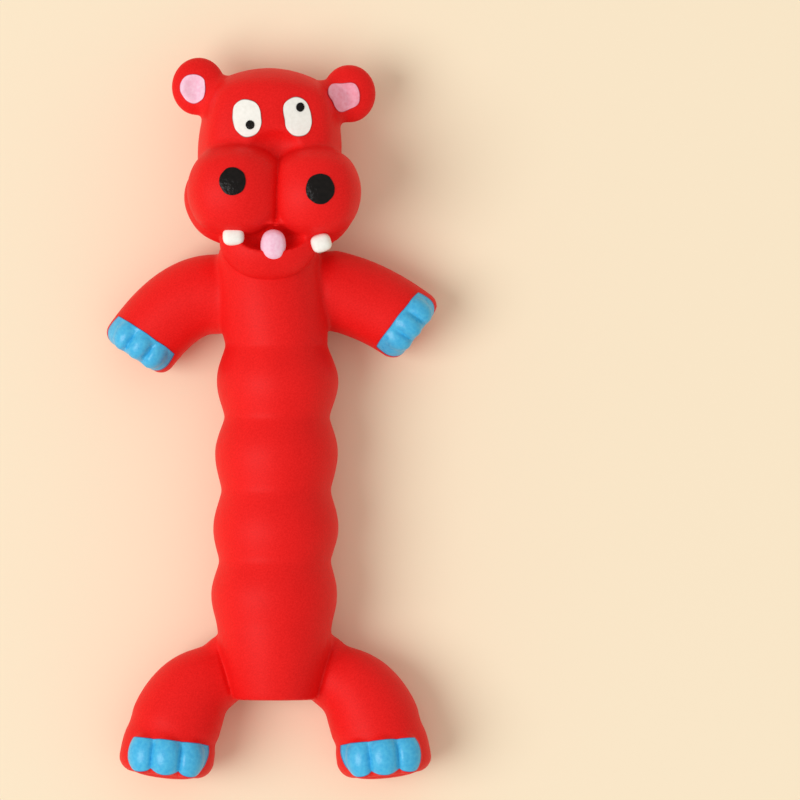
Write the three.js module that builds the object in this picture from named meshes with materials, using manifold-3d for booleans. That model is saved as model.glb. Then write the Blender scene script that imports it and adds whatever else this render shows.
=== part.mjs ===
// A stuffed latex dog toy, a long ribbed hippo, lying on its back on a flat surface.
// Millimetres. +X is the viewer's right, +Y runs up the body to the head, +Z is out of the face.
// The origin is on the surface it lies on, under the crest of the second rib.
import * as THREE from "three";
import { mergeVertices } from "three/addons/utils/BufferGeometryUtils.js";
import Module from "manifold-3d";

// Latex, paint and fits
const skinThickness = 1.8;
const paintThickness = 0.5;
const clearance = 0.3;
const restFlatDepth = 0.5;

// Ribbed body, turned about its own axis
const topRibRadius = 20.3;
const bottomRibRadius = 21;
const topValleyRadius = 17.5;
const bottomValleyRadius = 19.3;
const upperRibPitch = 24;
const waistRibPitch = 25;
const lowerRibPitch = 22;
const ribSwellPower = 1.5;
const chestRadius = 18;
const chestLength = 26;
const neckRadius = 17.5;
const pelvisLength = 24.3;
const pelvisFlatRadius = 12.5;
const pelvisTaperPower = 1.5;
const waistBendDegrees = 16;
const plugRadius = 3.5;
const plugFlangeRadius = 4.8;
const plugFlangeThickness = 1.5;
const airHoleRadius = 1.2;

// Belly wall that is pressed, and the squeaker behind it
const bellyHalfWidth = 9;
const bellyHalfLength = 9.5;
const bulbRadius = 11;
const bulbShift = 2;
const bulbHeight = 14;
const bulbWall = 1;
const nozzleRadius = 4.2;
const nozzleBoreRadius = 2.8;
const nozzleLength = 15;
const nozzleDepthInBulb = 3;
const collarRadius = 5.8;
const collarThickness = 1.5;
const wedgeLength = 5;
const wedgeFlatHeight = 0.8;
const reedLength = 6.5;
const reedWidth = 3.2;
const reedThickness = 0.4;

// Arms and legs: each curves from a ball at its root, by way of a bend, to a blunt end
const shoulderHeight = 18;
const shoulderReach = 18;
const armRadius = 12.8;
const pawRadius = 12.4;
const leftArmBend = { out: 13, down: 1.8 };
const leftPaw = { out: 28.6, down: 21 };
const rightArmBend = { out: 8.5, down: 0.8 };
const rightPaw = { out: 29.2, down: 13.7 };
const hipDrop = 13;
const hipReach = 16;
const legRadius = 13;
const footRadius = 15.8;
const legBend = { out: 17, down: 3 };
const foot = { out: 20.9, down: 36 };
const endRounding = 5;
const endTurnDegrees = 83;
const toeProud = 2;
const toeHalfHeight = 3.6;
const toeOverlapRatio = 0.72;
const pawToePitch = 6.6;
const pawToeLength = 9;
const footToePitch = 9;
const footToeLength = 13;

// Head, placed from the middle of the neck
const headRollDegrees = 3;
const craniumShift = -3;
const craniumRise = 36.5;
const craniumHalfWidth = 24;
const craniumHalfHeight = 29.3;
const muzzleShift = -2.2;
const muzzleRise = 22.5;
const muzzleForward = 8.2;
const muzzleHalfWidth = 29.3;
const muzzleHalfHeight = 18;
const muzzleHalfDepth = 15;
const cheekSpacing = 29.2;
const cheekRise = 26;
const cheekForward = 16.2;
const cheekRadius = 14.9;
const jawShift = -0.6;
const chinRise = 8;
const chinForward = 16.2;
const chinHalfWidth = 15.5;
const chinHalfHeight = 13.6;
const chinHalfDepth = 8.5;
const mouthRise = 9.5;
const mouthForward = 26.2;
const mouthHalfWidth = 10.5;
const mouthHalfHeight = 5.5;
const mouthHalfDepth = 6;
const nodClearance = 1.5;

// Painted features
const eyeSpacing = 16.6;
const eyeRise = 49.4;
const eyeHalfWidth = 4.8;
const eyeHalfHeight = 6.4;
const pupilRadius = 1.5;
const leftPupil = { right: 1, up: -2.3 };
const rightPupil = { right: 1, up: 3.2 };
const nostrilShift = -0.7;
const nostrilSpacing = 29;
const nostrilRise = 26.8;
const nostrilRadius = 4.5;
const toothSpacing = 29;
const toothRise = 9;
const toothForward = 21.5;
const toothHalfWidth = 3.3;
const toothHalfHeight = 3;
const toothHalfDepth = 3.6;
const tongueRise = 7;
const tongueForward = 22.6;
const tongueHalfWidth = 4.2;
const tongueHalfHeight = 5.1;
const tongueHalfDepth = 3;

// Ears
const earSpacing = 51;
const earRise = 58.9;
const earForward = 1;
const earHalfWidth = 8.8;
const earHalfHeight = 9.6;
const earHalfDepth = 4.6;
const earRootRadius = 3.2;
const earFlexClearance = 1;
const leftLining = { right: -1.5, up: -0.7, halfWidth: 4.2, halfHeight: 4.7 };
const rightLining = { right: -1.6, up: -0.9, halfWidth: 5.2, halfHeight: 4.7 };

// How finely round forms are divided
const bodySideCount = 20;
const limbSideCount = 14;
const stuffingSideCount = 8;
const halfRibStepCount = 2;
const outsideDetail = { acrossCount: 16, upCount: 10 };
const roomDetail = { acrossCount: 14, upCount: 8 };
const insideDetail = { acrossCount: 10, upCount: 6 };
const smallDetail = { acrossCount: 10, upCount: 6 };
const ballMouthDegrees = 45;
const roundnessPower = 2.5;

const wasm = await Module();
wasm.setup();
const { degToRad, lerp } = THREE.MathUtils;

// A closed geometry as a solid that can be joined and cut.
function solid(geometry) {
  const bare = geometry.clone();
  bare.deleteAttribute("normal");
  bare.deleteAttribute("uv");
  const merged = mergeVertices(bare, 1e-4);
  const corners = merged.index.array;
  const kept = [];
  for (let i = 0; i < corners.length; i += 3) {
    const [a, b, c] = [corners[i], corners[i + 1], corners[i + 2]];
    if (a !== b && b !== c && c !== a) kept.push(a, b, c);
  }
  return new wasm.Manifold(
    new wasm.Mesh({
      numProp: 3,
      vertProperties: new Float32Array(merged.attributes.position.array),
      triVerts: new Uint32Array(kept),
    }),
  );
}

// A solid as a geometry to draw.
function geometryOf(body) {
  const mesh = body.getMesh();
  const geometry = new THREE.BufferGeometry();
  geometry.setAttribute("position", new THREE.BufferAttribute(mesh.vertProperties, 3));
  geometry.setIndex(new THREE.BufferAttribute(mesh.triVerts, 1));
  geometry.computeVertexNormals();
  return geometry;
}

// The solid turned about the Y axis from a profile of [radius, height] points, bottom to top.
function turned(points, sides = bodySideCount) {
  const profile = points.map(([radius, height]) => new THREE.Vector2(radius, height));
  return new THREE.LatheGeometry(profile, sides);
}

// A ring of that kind, its profile going up the outside and down the inside.
function turnedRing(points, sides = bodySideCount) {
  return turned([...points, points[0]], sides);
}

// A ball swollen towards a rounded box, with its half sizes grown all round.
function swollenShape({ at, half, power = 2 }, grow, detail) {
  const geometry = new THREE.SphereGeometry(1, detail.acrossCount, detail.upCount);
  const position = geometry.attributes.position;
  const point = new THREE.Vector3();
  const sizes = half.map((size) => size + grow);
  for (let i = 0; i < position.count; i += 1) {
    point.fromBufferAttribute(position, i);
    const share = (axis) => Math.abs(point.getComponent(axis) / sizes[axis]) ** power;
    point.divideScalar((share(0) + share(1) + share(2)) ** (1 / power));
    position.setXYZ(i, point.x + at[0], point.y + at[1], point.z + at[2]);
  }
  return geometry;
}

function swollen(form, grow = 0, detail = outsideDetail) {
  return solid(swollenShape(form, grow, detail));
}

function ball(at, radius) {
  return swollen({ at, half: [radius, radius, radius] }, 0, smallDetail);
}

// The room round a ball: its flats, not its corners, lie at the radius.
function ballRoom(at, radius, detail = roomDetail) {
  const { acrossCount, upCount } = detail;
  const corner = radius / (Math.cos(Math.PI / acrossCount) * Math.cos(Math.PI / (2 * upCount)));
  return swollen({ at, half: [corner, corner, corner] }, 0, detail);
}

// An upright prism over an ellipse, for cutting out what is seen from the front.
function ellipsePrism({ x, y, halfWidth, halfHeight }, from, depth) {
  const outline = new THREE.Shape().absellipse(x, y, halfWidth, halfHeight, 0, 2 * Math.PI);
  const options = { depth, bevelEnabled: false, curveSegments: 8 };
  return solid(new THREE.ExtrudeGeometry(outline, options).translate(0, 0, from));
}

// Body heights, from the origin at the second rib
const ribHeights = [upperRibPitch, 0, -waistRibPitch, -waistRibPitch - lowerRibPitch];
const valleyHeights = [
  1.5 * upperRibPitch,
  0.5 * upperRibPitch,
  -0.5 * waistRibPitch,
  ribHeights[2] - 0.5 * lowerRibPitch,
  ribHeights[3] - 0.5 * lowerRibPitch,
];
const ribRadii = ribHeights.map((_, i) => lerp(topRibRadius, bottomRibRadius, i / 3));
const valleyRadii = valleyHeights.map((_, i) => lerp(topValleyRadius, bottomValleyRadius, i / 4));
const neckHeight = valleyHeights[0] + chestLength;
const waistHeight = valleyHeights[2];
const pelvisTop = valleyHeights[4];
const pelvisEnd = pelvisTop - pelvisLength;
const axisHeight = Math.min(topRibRadius, bottomRibRadius) - restFlatDepth;
const frontDepth = 2 * topRibRadius;
const floorSize = 1000;

// Everything below a level.
function below(level) {
  const block = new THREE.BoxGeometry(floorSize, floorSize, floorSize);
  return solid(block.translate(0, 0, level - 0.5 * floorSize));
}

const floor = below(0);

// The body's outer radius at a height.
function bodyRadius(y) {
  if (y >= valleyHeights[0]) {
    const up = (y - valleyHeights[0]) / chestLength;
    const end = up < 0.5 ? topValleyRadius : neckRadius;
    return lerp(end, chestRadius, Math.sin(Math.PI * up));
  }
  if (y <= pelvisTop) {
    const down = (pelvisTop - y) / pelvisLength;
    return lerp(bottomValleyRadius, pelvisFlatRadius, down ** pelvisTaperPower);
  }
  const rib = valleyHeights.findIndex((height) => height <= y) - 1;
  const valley = y > ribHeights[rib] ? rib : rib + 1;
  const toCrest = (y - valleyHeights[valley]) / (ribHeights[rib] - valleyHeights[valley]);
  const swell = Math.sin(0.5 * Math.PI * toCrest) ** ribSwellPower;
  return lerp(valleyRadii[valley], ribRadii[rib], swell);
}

// Heights at which the body is drawn, from the bottom up.
function bodyStations(perHalfRib) {
  const heights = [];
  for (let i = 0; i < 4; i += 1) heights.push(lerp(pelvisEnd, pelvisTop, i / 4));
  const turns = [...valleyHeights, ...ribHeights].sort((a, b) => a - b);
  for (let i = 0; i < turns.length - 1; i += 1) {
    for (let j = 0; j < perHalfRib; j += 1) heights.push(lerp(turns[i], turns[i + 1], j / perHalfRib));
  }
  for (let i = 0; i <= 3; i += 1) heights.push(valleyHeights[0] + (chestLength * i) / 3);
  return heights;
}

function bodyProfile(from, to, inset, perHalfRib = halfRibStepCount) {
  const heights = bodyStations(perHalfRib).filter((y) => y > from && y < to);
  return [from, ...heights, to].map((y) => [bodyRadius(y) - inset, y]);
}

// Points on a circle about the body's axis, between two angles above its middle.
function arc(radius, middle, from, to, steps) {
  return Array.from({ length: steps + 1 }, (_, i) => {
    const angle = lerp(from, to, i / steps);
    return [radius * Math.cos(angle), middle + radius * Math.sin(angle)];
  });
}

// The waist: a ball on the lower body nests in the chest's end, and a V groove leaves room to bend.
const waistHalfBend = degToRad(0.5 * waistBendDegrees);
const mouthAngle = degToRad(ballMouthDegrees);
const waistBoreRadius = bodyRadius(waistHeight) - skinThickness;
const waistBallRadius = waistBoreRadius - clearance;

function grooveEdge(direction) {
  let y = waistHeight;
  for (let i = 0; i < 8; i += 1) {
    y = waistHeight + direction * (clearance + bodyRadius(y) * Math.tan(waistHalfBend));
  }
  return y;
}

const chestEnd = grooveEdge(1);
const hipEnd = grooveEdge(-1);
const boreEnd = waistHeight + clearance + waistBoreRadius * Math.tan(waistHalfBend);

function onAxis(geometry) {
  return solid(geometry.translate(0, 0, axisHeight));
}

const chestShell = onAxis(
  turnedRing([
    [waistBoreRadius, boreEnd],
    ...bodyProfile(chestEnd, neckHeight, 0),
    ...arc(neckRadius, neckHeight, 0, mouthAngle, 3).slice(1),
    ...arc(neckRadius - skinThickness, neckHeight, mouthAngle, 0, 3),
    ...bodyProfile(boreEnd + skinThickness, neckHeight, skinThickness, 1).reverse().slice(1),
  ]),
);

const ballFoot = waistHalfBend + clearance / waistBallRadius;
const innerBallRadius = waistBallRadius - skinThickness;
const shelfDrop = waistBallRadius * Math.sin(ballFoot) + skinThickness;
const shelfEnd = hipEnd - skinThickness;
const plugHoleRadius = plugRadius + clearance;

const hipShell = onAxis(
  turnedRing([
    [plugHoleRadius, pelvisEnd],
    ...bodyProfile(pelvisEnd, hipEnd, 0),
    ...arc(waistBallRadius, waistHeight, -ballFoot, mouthAngle, 5),
    ...arc(innerBallRadius, waistHeight, mouthAngle, -Math.asin(shelfDrop / innerBallRadius), 4),
    ...bodyProfile(pelvisEnd + skinThickness, shelfEnd, skinThickness, 1).reverse(),
    [plugHoleRadius, pelvisEnd + skinThickness],
  ]),
);

// The room inside the chest and inside the lower body, drawn in from the skin's inner face.
function chestRoom(inset) {
  const reach = skinThickness + inset;
  const profile = [
    [0, boreEnd + skinThickness],
    ...bodyProfile(boreEnd + skinThickness, neckHeight, reach, 1),
    ...arc(neckRadius - reach, neckHeight, 0, mouthAngle, 3).slice(1),
    [0, neckHeight + (neckRadius - reach) * Math.sin(mouthAngle)],
  ];
  return onAxis(turned(profile, stuffingSideCount));
}

function hipRoom(inset) {
  const reach = skinThickness + inset;
  const [bottom, top] = [pelvisEnd + reach, shelfEnd - inset];
  const profile = [[0, bottom], ...bodyProfile(bottom, top, reach, 1), [0, top]];
  return onAxis(turned(profile, stuffingSideCount));
}

// Arms and legs lie on the surface. A limb is a row of rings: a ball at the root, the curve, and a
// rounded blunt end.
function limb(root, bend, tip, side, rootRadius, tipRadius) {
  const at = ({ out, down }, rise) => new THREE.Vector3(side * out, -down, rise).add(root);
  const rise = tipRadius - rootRadius;
  const curve = new THREE.QuadraticBezierCurve3(root, at(bend, 0.5 * rise), at(tip, rise));
  return { root, curve, rootRadius, tipRadius };
}

function limbRings({ curve, rootRadius, tipRadius }, inset, stepsAlong) {
  const length = curve.getLength();
  const rounding = endRounding - inset;
  const straight = 1 - endRounding / length;
  const rings = [];
  const add = (along, back, radius) => {
    const tangent = curve.getTangentAt(along);
    const centre = curve.getPointAt(along).addScaledVector(tangent, -back);
    rings.push({ centre, tangent, radius });
  };
  for (let i = 0; i < 3; i += 1) {
    const angle = mouthAngle * (1 - i / 3);
    const radius = rootRadius - inset;
    add(0, radius * Math.sin(angle), radius * Math.cos(angle));
  }
  for (let i = 0; i <= stepsAlong; i += 1) {
    const along = (straight * i) / stepsAlong;
    add(along, 0, lerp(rootRadius, tipRadius, along) - inset);
  }
  for (let i = 1; i <= 3; i += 1) {
    const angle = (degToRad(endTurnDegrees) * i) / 3;
    const back = endRounding - rounding * Math.sin(angle);
    add(1, back, tipRadius - inset - rounding * (1 - Math.cos(angle)));
  }
  return rings;
}

// A closed form through rings that stand upright along a curve.
function loft(rings, sides) {
  const upward = new THREE.Vector3(0, 0, 1);
  const points = [];
  const corners = [];
  for (const { centre, tangent, radius } of rings) {
    const sideways = new THREE.Vector3().crossVectors(tangent, upward).normalize();
    for (let j = 0; j < sides; j += 1) {
      const angle = (2 * Math.PI * j) / sides;
      const point = centre.clone().addScaledVector(sideways, radius * Math.cos(angle));
      points.push(point.addScaledVector(upward, radius * Math.sin(angle)));
    }
  }
  const startCentre = points.push(rings[0].centre) - 1;
  const endCentre = points.push(rings.at(-1).centre) - 1;
  const last = (rings.length - 1) * sides;
  for (let j = 0; j < sides; j += 1) {
    const next = (j + 1) % sides;
    corners.push(startCentre, j, next, endCentre, last + next, last + j);
    for (let k = 0; k < rings.length - 1; k += 1) {
      const [a, b] = [k * sides + j, k * sides + next];
      corners.push(a, a + sides, b, b, a + sides, b + sides);
    }
  }
  const geometry = new THREE.BufferGeometry().setFromPoints(points);
  geometry.setIndex(corners);
  return solid(geometry);
}

function limbSolid(form, inset) {
  return loft(limbRings(form, inset, 5), limbSideCount);
}

function limbStuffing(form) {
  return loft(limbRings(form, skinThickness + clearance, 3), stuffingSideCount);
}

// The hollow of a limb, carried out through the mouth in its ball.
function limbHollow(form) {
  const rings = limbRings(form, skinThickness, 3);
  const mouth = rings[0];
  const outside = mouth.centre.clone().addScaledVector(mouth.tangent, -skinThickness - clearance);
  return loft([{ ...mouth, centre: outside }, ...rings], stuffingSideCount);
}

// Three toes on the front of a limb's end, side by side round its skin.
function toes(form, pitch, length) {
  const tip = form.curve.getPointAt(1);
  const tangent = form.curve.getTangentAt(1);
  const turn = Math.atan2(tangent.y, tangent.x) + 0.5 * Math.PI;
  const toeForm = {
    at: [0, 0.5 * length, form.tipRadius + toeProud - toeHalfHeight],
    half: [toeOverlapRatio * pitch, 0.5 * length, toeHalfHeight],
  };
  const row = [-1, 0, 1].map((place) => {
    const toe = swollenShape(toeForm, 0, smallDetail);
    toe.rotateY((place * pitch) / form.tipRadius);
    return solid(toe.rotateZ(turn).translate(tip.x, tip.y, tip.z));
  });
  return row[0].add(row[1]).add(row[2]).subtract(limbSolid(form, -clearance));
}

const shoulderY = valleyHeights[0] + shoulderHeight;
const hipY = pelvisTop - hipDrop;

function arm(side, bend, paw) {
  const root = new THREE.Vector3(side * shoulderReach, shoulderY, armRadius + clearance);
  return limb(root, bend, paw, side, armRadius, pawRadius);
}

function leg(side) {
  const root = new THREE.Vector3(side * hipReach, hipY, legRadius + clearance);
  return limb(root, legBend, foot, side, legRadius, footRadius);
}

const arms = { left: arm(-1, leftArmBend, leftPaw), right: arm(1, rightArmBend, rightPaw) };
const legs = { left: leg(-1), right: leg(1) };

function rootRoom({ root, rootRadius }, spare, detail) {
  return ballRoom(root.toArray(), rootRadius + spare, detail);
}

// Squeaker: a flat bulb under the belly wall, its nozzle pointing to the head
const bellyHeight = valleyHeights[1];
const bellyRoomRadius = bodyRadius(bellyHeight) - skinThickness;
const bulbLift = bellyRoomRadius - 0.5 * bulbHeight;
const bulbMiddle = bellyHeight + bulbShift;
const bulbAt = [0, bulbMiddle, axisHeight + bulbLift];
const nozzleStart = bulbMiddle + bulbRadius - nozzleDepthInBulb;
const nozzleEnd = nozzleStart + nozzleLength;
const collarStart = bulbMiddle + bulbRadius + clearance;
const wedgeRadius = nozzleBoreRadius - clearance;
const wedgeStart = nozzleEnd - wedgeLength;
const reedEnd = wedgeStart - clearance;

const bulbForm = { at: bulbAt, half: [bulbRadius, bulbRadius, 0.5 * bulbHeight] };

function bulb(grow) {
  return swollen(bulbForm, grow, insideDetail).intersect(chestRoom(clearance - grow));
}

function onNozzle(geometry) {
  return solid(geometry.translate(0, 0, bulbAt[2]));
}

function nozzleRod(radius, from, to) {
  return onNozzle(turned([[0, from], [radius, from], [radius, to], [0, to]], limbSideCount));
}

const nozzle = onNozzle(
  turnedRing(
    [
      [nozzleBoreRadius, nozzleStart],
      [nozzleRadius, nozzleStart],
      [nozzleRadius, collarStart],
      [collarRadius, collarStart],
      [collarRadius, collarStart + collarThickness],
      [nozzleRadius, collarStart + collarThickness],
      [nozzleRadius, nozzleEnd],
      [nozzleBoreRadius, nozzleEnd],
    ],
    limbSideCount,
  ),
);

const squeakerBulb = bulb(0)
  .subtract(bulb(-bulbWall))
  .subtract(nozzleRod(nozzleRadius + clearance, bulbMiddle, collarStart));

const airway = solid(
  new THREE.BoxGeometry(2 * nozzleRadius, 2 * wedgeLength, nozzleRadius).translate(
    0,
    nozzleEnd - 0.5 * wedgeLength,
    bulbAt[2] + wedgeFlatHeight + 0.5 * nozzleRadius,
  ),
);
const reedWedge = nozzleRod(wedgeRadius, wedgeStart, nozzleEnd).subtract(airway);
const reed = onNozzle(
  new THREE.BoxGeometry(reedWidth, reedLength, reedThickness).translate(0, reedEnd - 0.5 * reedLength, 0),
);

// Belly wall: an oval of the chest's front skin
const bellyOval = { x: 0, y: bellyHeight, halfWidth: bellyHalfWidth, halfHeight: bellyHalfLength };
const bellyWindow = {
  ...bellyOval,
  halfWidth: bellyHalfWidth + clearance,
  halfHeight: bellyHalfLength + clearance,
};

const bellyWall = chestShell.intersect(ellipsePrism(bellyOval, axisHeight, frontDepth));
const chestSkin = chestShell
  .subtract(ellipsePrism(bellyWindow, axisHeight, frontDepth))
  .subtract(rootRoom(arms.left, clearance))
  .subtract(rootRoom(arms.right, clearance))
  .subtract(floor);
const chestStuffing = chestRoom(clearance)
  .subtract(swollen(bulbForm, clearance, insideDetail))
  .subtract(nozzleRod(collarRadius + clearance, bulbMiddle, nozzleEnd + clearance))
  .subtract(rootRoom(arms.left, 2 * clearance, insideDetail))
  .subtract(rootRoom(arms.right, 2 * clearance, insideDetail))
  .subtract(ballRoom([0, waistHeight, axisHeight], waistBallRadius + clearance, insideDetail));

const plug = onAxis(
  turnedRing(
    [
      [airHoleRadius, pelvisEnd],
      [plugRadius, pelvisEnd],
      [plugRadius, pelvisEnd + skinThickness + clearance],
      [plugFlangeRadius, pelvisEnd + skinThickness + clearance],
      [plugFlangeRadius, pelvisEnd + skinThickness + clearance + plugFlangeThickness],
      [airHoleRadius, pelvisEnd + skinThickness + clearance + plugFlangeThickness],
    ],
    limbSideCount,
  ),
);
const plugRoom = onAxis(
  turned(
    [
      [0, pelvisEnd],
      [plugFlangeRadius + clearance, pelvisEnd],
      [plugFlangeRadius + clearance, pelvisEnd + skinThickness + plugFlangeThickness + 2 * clearance],
      [0, pelvisEnd + skinThickness + plugFlangeThickness + 2 * clearance],
    ],
    limbSideCount,
  ),
);
const hipSkin = hipShell
  .subtract(rootRoom(legs.left, clearance))
  .subtract(rootRoom(legs.right, clearance))
  .subtract(floor);
const hipStuffing = hipRoom(clearance)
  .subtract(rootRoom(legs.left, 2 * clearance, insideDetail))
  .subtract(rootRoom(legs.right, 2 * clearance, insideDetail))
  .subtract(plugRoom);

// Head, about the middle of the neck
const neckAt = [0, neckHeight, axisHeight];
const headRoll = degToRad(headRollDegrees);
const cranium = {
  at: [craniumShift, craniumRise, 0],
  half: [craniumHalfWidth, craniumHalfHeight, axisHeight + restFlatDepth],
  power: roundnessPower,
};
const muzzle = {
  at: [muzzleShift, muzzleRise, muzzleForward],
  half: [muzzleHalfWidth, muzzleHalfHeight, muzzleHalfDepth],
  power: roundnessPower,
};
const cheeks = [-1, 1].map((side) => ({
  at: [muzzleShift + 0.5 * side * cheekSpacing, cheekRise, cheekForward],
  half: [cheekRadius, cheekRadius, cheekRadius],
}));
const chin = {
  at: [jawShift, chinRise, chinForward],
  half: [chinHalfWidth, chinHalfHeight, chinHalfDepth],
};
const mouth = {
  at: [jawShift, mouthRise, mouthForward],
  half: [mouthHalfWidth, mouthHalfHeight, mouthHalfDepth],
};
const neckSocketRadius = neckRadius + clearance;

function headForm(grow, detail) {
  return swollen(cranium, grow, detail)
    .add(swollen(muzzle, grow, detail))
    .add(swollen(cheeks[0], grow, detail))
    .add(swollen(cheeks[1], grow, detail));
}

function headOutside(grow) {
  const form = headForm(grow, outsideDetail).add(swollen(chin, grow, smallDetail));
  return form.subtract(swollen(mouth, -grow, smallDetail));
}

// What the chest takes up inside and under the head, with room to nod.
function neckRoom(spare, detail) {
  const radius = Math.max(chestRadius, neckRadius) + nodClearance;
  const under = turned([[0, -chestLength], [radius, -chestLength], [radius, 0], [0, 0]]);
  return solid(under.rotateZ(headRoll)).add(ballRoom([0, 0, 0], neckSocketRadius + spare, detail));
}

// Where an ear's root sits: on the cranium, on the way from its middle to the ear's.
function earRoot(side) {
  const middle = new THREE.Vector3(...cranium.at);
  const way = new THREE.Vector3(craniumShift + 0.5 * side * earSpacing, earRise, earForward).sub(middle);
  const share = (axis) => Math.abs(way.getComponent(axis) / cranium.half[axis]) ** roundnessPower;
  const reach = (share(0) + share(1) + share(2)) ** (-1 / roundnessPower);
  return way.multiplyScalar(reach).add(middle).toArray();
}

function earForm(side) {
  return {
    at: [craniumShift + 0.5 * side * earSpacing, earRise, earForward],
    half: [earHalfWidth, earHalfHeight, earHalfDepth],
  };
}

const earRoots = { left: earRoot(-1), right: earRoot(1) };
const headSkin = headOutside(0)
  .subtract(headForm(-skinThickness, insideDetail))
  .subtract(neckRoom(0))
  .subtract(ballRoom(earRoots.left, earRootRadius + clearance))
  .subtract(ballRoom(earRoots.right, earRootRadius + clearance))
  .subtract(below(-axisHeight));
const headStuffing = headForm(-skinThickness - clearance, insideDetail)
  .subtract(neckRoom(clearance, insideDetail))
  .subtract(ballRoom(earRoots.left, earRootRadius + 2 * clearance, insideDetail))
  .subtract(ballRoom(earRoots.right, earRootRadius + 2 * clearance, insideDetail));

function ear(side, root) {
  return swollen(earForm(side), 0, smallDetail)
    .subtract(swollen(cranium, earFlexClearance))
    .add(ball(root, earRootRadius));
}

// A coat of paint on the front of a form, inside an ellipse.
function paint(form, ellipse, detail = outsideDetail) {
  const under = swollen(form, clearance, detail);
  const coat = swollen(form, clearance + paintThickness, detail).subtract(under);
  return coat.intersect(ellipsePrism(ellipse, form.at[2], frontDepth));
}

function eye(side, pupil) {
  const x = craniumShift + 0.5 * side * eyeSpacing;
  const pupilAt = { x: x + pupil.right, y: eyeRise + pupil.up };
  const hole = pupilRadius + clearance;
  const white = paint(cranium, { x, y: eyeRise, halfWidth: eyeHalfWidth, halfHeight: eyeHalfHeight });
  const window = ellipsePrism({ ...pupilAt, halfWidth: hole, halfHeight: hole }, 0, frontDepth);
  return {
    white: white.subtract(window),
    pupil: paint(cranium, { ...pupilAt, halfWidth: pupilRadius, halfHeight: pupilRadius }),
  };
}

function nostril(side) {
  const form = cheeks[side < 0 ? 0 : 1];
  return paint(form, {
    x: nostrilShift + 0.5 * side * nostrilSpacing,
    y: nostrilRise,
    halfWidth: nostrilRadius,
    halfHeight: nostrilRadius,
  });
}

function tooth(side) {
  const form = {
    at: [0.5 * side * toothSpacing, toothRise, toothForward],
    half: [toothHalfWidth, toothHalfHeight, toothHalfDepth],
  };
  return swollen(form, 0, smallDetail).subtract(headOutside(clearance));
}

function tongue() {
  const form = {
    at: [jawShift, tongueRise, tongueForward],
    half: [tongueHalfWidth, tongueHalfHeight, tongueHalfDepth],
  };
  return swollen(form, 0, smallDetail).subtract(headOutside(clearance));
}

function lining(side, { right, up, halfWidth, halfHeight }) {
  const form = earForm(side);
  const oval = { x: form.at[0] + right, y: form.at[1] + up, halfWidth, halfHeight };
  return paint(form, oval, smallDetail).subtract(swollen(cranium, earFlexClearance));
}

// Colours and finishes
const finishes = {
  latex: { color: 0xe8282a, roughness: 0.5, metalness: 0 },
  blue: { color: 0x3fb4e6, roughness: 0.45, metalness: 0 },
  white: { color: 0xfaf8ee, roughness: 0.5, metalness: 0 },
  pink: { color: 0xf3a9c4, roughness: 0.5, metalness: 0 },
  black: { color: 0x1c1716, roughness: 0.35, metalness: 0 },
  fibre: { color: 0xf2efe6, roughness: 0.95, metalness: 0 },
  bulb: { color: 0xdedbd0, roughness: 0.5, metalness: 0 },
  reed: { color: 0xc9cdd2, roughness: 0.35, metalness: 0 },
};

function piece(name, body, finish) {
  const mesh = new THREE.Mesh(geometryOf(body), new THREE.MeshStandardMaterial(finishes[finish]));
  mesh.name = name;
  return mesh;
}

const toy = new THREE.Group();
toy.add(
  piece("chest_skin", chestSkin, "latex"),
  piece("belly_wall", bellyWall, "latex"),
  piece("chest_stuffing", chestStuffing, "fibre"),
  piece("squeaker_bulb", squeakerBulb, "bulb"),
  piece("squeaker_nozzle", nozzle, "bulb"),
  piece("reed_wedge", reedWedge, "bulb"),
  piece("squeaker_reed", reed, "reed"),
  piece("hip_skin", hipSkin, "latex"),
  piece("hip_stuffing", hipStuffing, "fibre"),
  piece("fill_plug", plug, "latex"),
);
for (const side of ["left", "right"]) {
  const limbs = [
    { name: "arm", end: "paw", form: arms[side], pitch: pawToePitch, length: pawToeLength },
    { name: "leg", end: "foot", form: legs[side], pitch: footToePitch, length: footToeLength },
  ];
  for (const { name, end, form, pitch, length } of limbs) {
    const skin = limbSolid(form, 0).subtract(limbHollow(form));
    toy.add(
      piece(`${side}_${name}_skin`, skin, "latex"),
      piece(`${side}_${name}_stuffing`, limbStuffing(form), "fibre"),
      piece(`${side}_${end}_toes`, toes(form, pitch, length), "blue"),
    );
  }
}

const head = new THREE.Group();
head.position.set(...neckAt);
head.rotation.z = -headRoll;
head.add(
  piece("head_skin", headSkin, "latex"),
  piece("head_stuffing", headStuffing, "fibre"),
  piece("tongue", tongue(), "pink"),
);
const faceSides = [
  { name: "left", side: -1, pupil: leftPupil, earLining: leftLining },
  { name: "right", side: 1, pupil: rightPupil, earLining: rightLining },
];
for (const { name, side, pupil, earLining } of faceSides) {
  const { white, pupil: dot } = eye(side, pupil);
  head.add(
    piece(`${name}_eye_white`, white, "white"),
    piece(`${name}_pupil`, dot, "black"),
    piece(`${name}_nostril`, nostril(side), "black"),
    piece(`${name}_tooth`, tooth(side), "white"),
    piece(`${name}_ear`, ear(side, earRoots[name]), "latex"),
    piece(`${name}_ear_lining`, lining(side, earLining), "pink"),
  );
}
toy.add(head);

export default toy;
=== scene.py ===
import math

import bmesh
import bpy
import numpy as np
from mathutils import Matrix, Vector


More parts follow.
